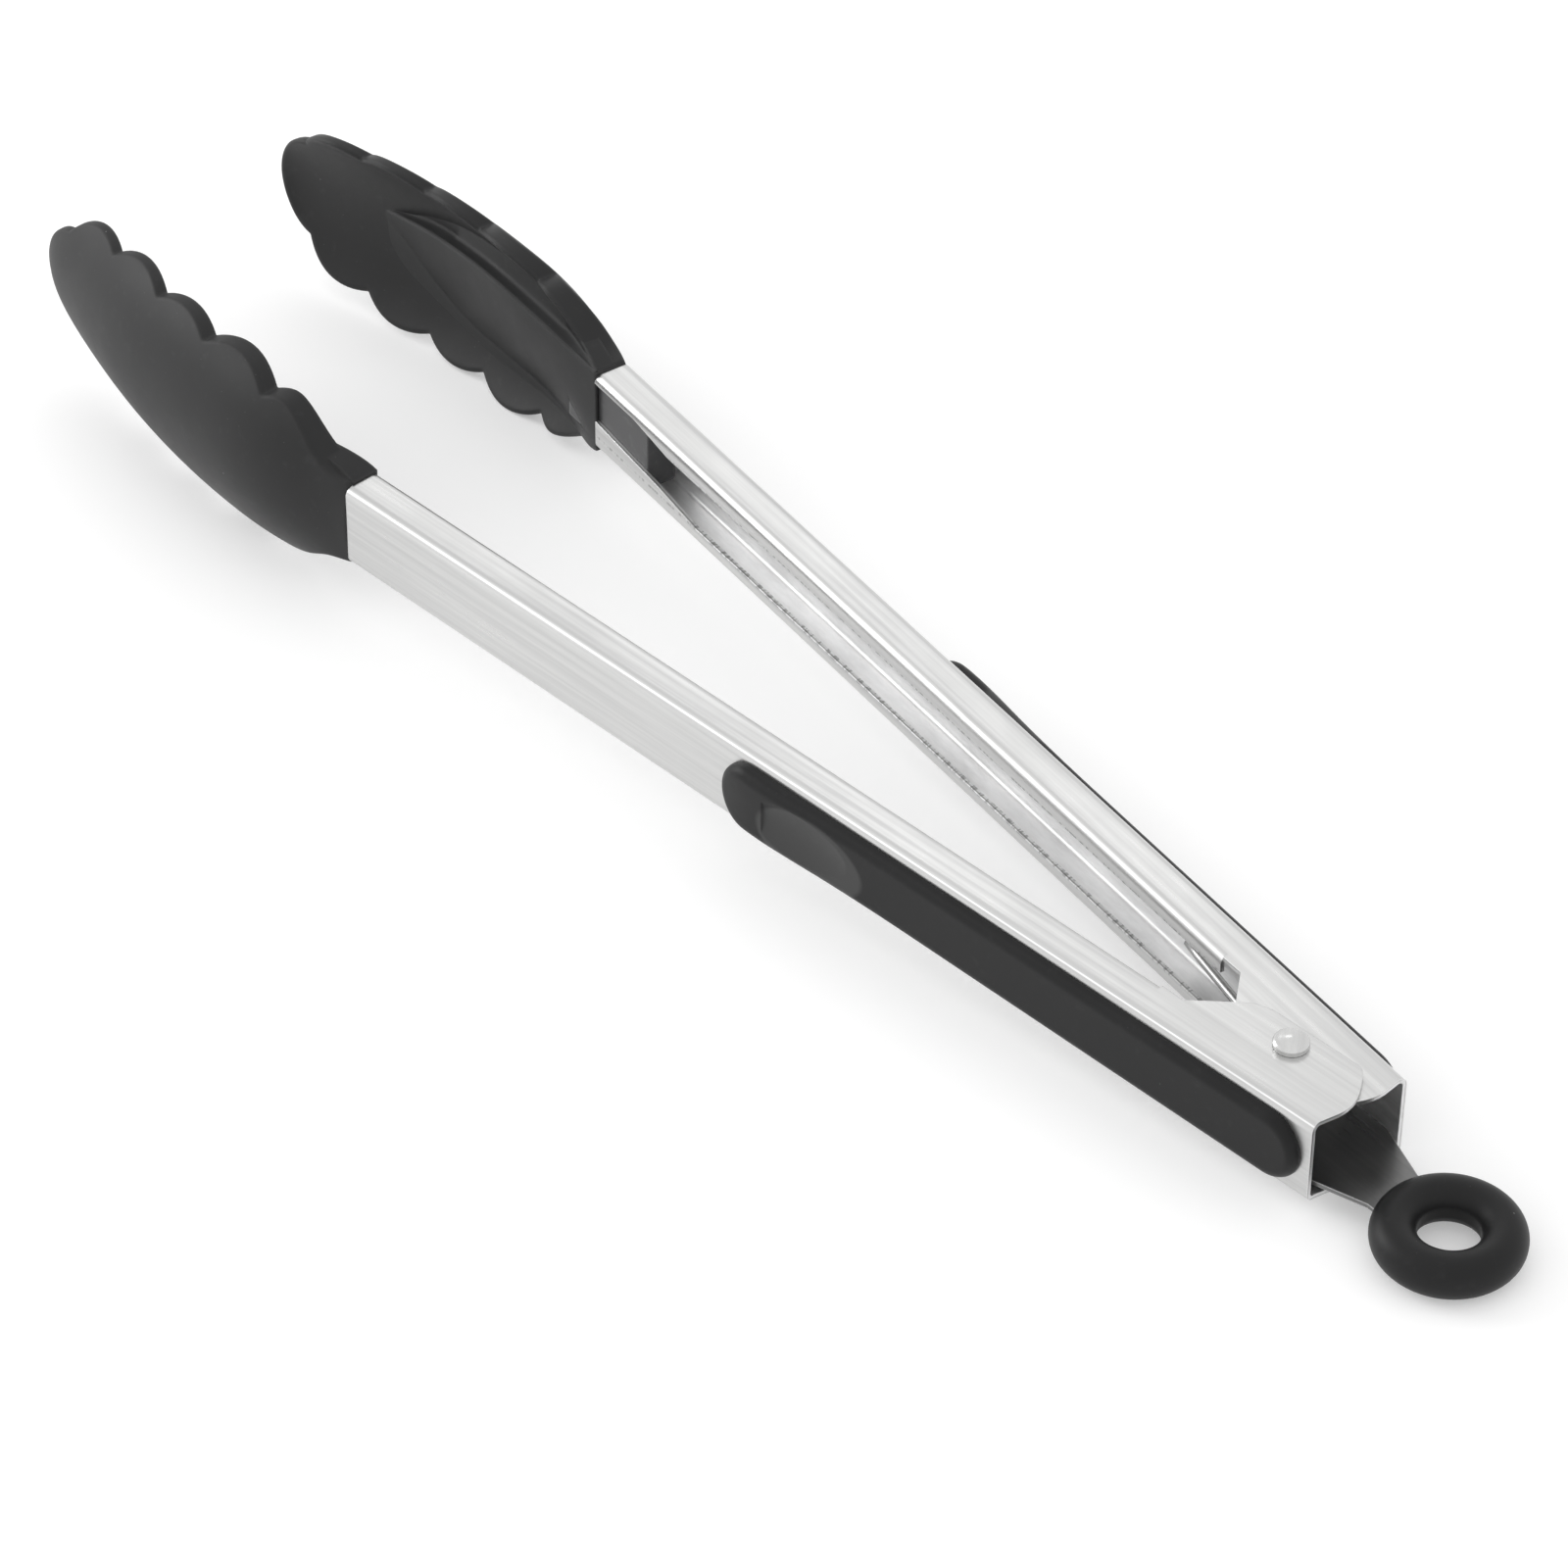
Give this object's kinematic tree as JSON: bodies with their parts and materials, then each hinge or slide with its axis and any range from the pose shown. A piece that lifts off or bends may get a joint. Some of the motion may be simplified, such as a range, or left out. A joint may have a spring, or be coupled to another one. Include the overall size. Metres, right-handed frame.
{
  "type": "spring loaded kitchen tongs",
  "caption": "Locking kitchen tongs: two steel channel arms on a riveted spring pivot, scalloped silicone heads, soft thumb grips and a sliding lock with a pull ring.",
  "frame": {"origin": "bottom centre of the bounding box, arms open and lock released", "axes": "+X from the pivot towards the tips, +Y towards the left arm, +Z along the pivot rivet, its domed head up"},
  "size_m": [0.3512, 0.0748, 0.0377],
  "materials": {
    "arm_steel": "brushed along the arms",
    "head_silicone": "matte silicone",
    "core_nylon": "dark grey moulded nylon",
    "grip_skin": "soft matte grip",
    "rivet_steel": "turned and lightly polished",
    "spring_steel": "drawn wire",
    "lock_steel": "stamped sheet",
    "ring_rubber": "matte silicone"
  },
  "bodies": {
    "pivot": {"pivot_rivet": "rivet_steel", "pivot_sleeve": "rivet_steel", "torsion_spring": "spring_steel"},
    "left_side": {"left_arm": "arm_steel", "left_head_core": "core_nylon", "left_head": "head_silicone", "left_grip_carrier": "core_nylon", "left_grip": "grip_skin"},
    "right_side": {"right_arm": "arm_steel", "right_head_core": "core_nylon", "right_head": "head_silicone", "right_grip_carrier": "core_nylon", "right_grip": "grip_skin"},
    "lock": {"lock_slider": "lock_steel", "pull_ring": "ring_rubber"}
  },
  "joints": [
    {"name": "left_arm_hinge", "type": "hinge", "parent": "pivot", "child": "left_side", "pos_m": [-0.12698, 0, 0.01887], "axis": [0, 0, 1], "range_deg": [-4.64, 0], "stiffness_Nm_per_rad": 6, "springref_deg": 4.58, "deforming": ["torsion_spring"]},
    {"name": "right_arm_hinge", "type": "hinge", "parent": "pivot", "child": "right_side", "pos_m": [-0.12698, 0, 0.01887], "axis": [0, 0, 1], "range_deg": [0, 4.64], "stiffness_Nm_per_rad": 6, "springref_deg": -4.58},
    {"name": "lock_slide", "type": "slide", "parent": "pivot", "child": "lock", "axis": [-1, 0, 0], "range_m": [0, 0.008]}
  ],
  "couplings": [
    {"joint": "right_arm_hinge", "follows": "left_arm_hinge", "ratio": -1}
  ]
}
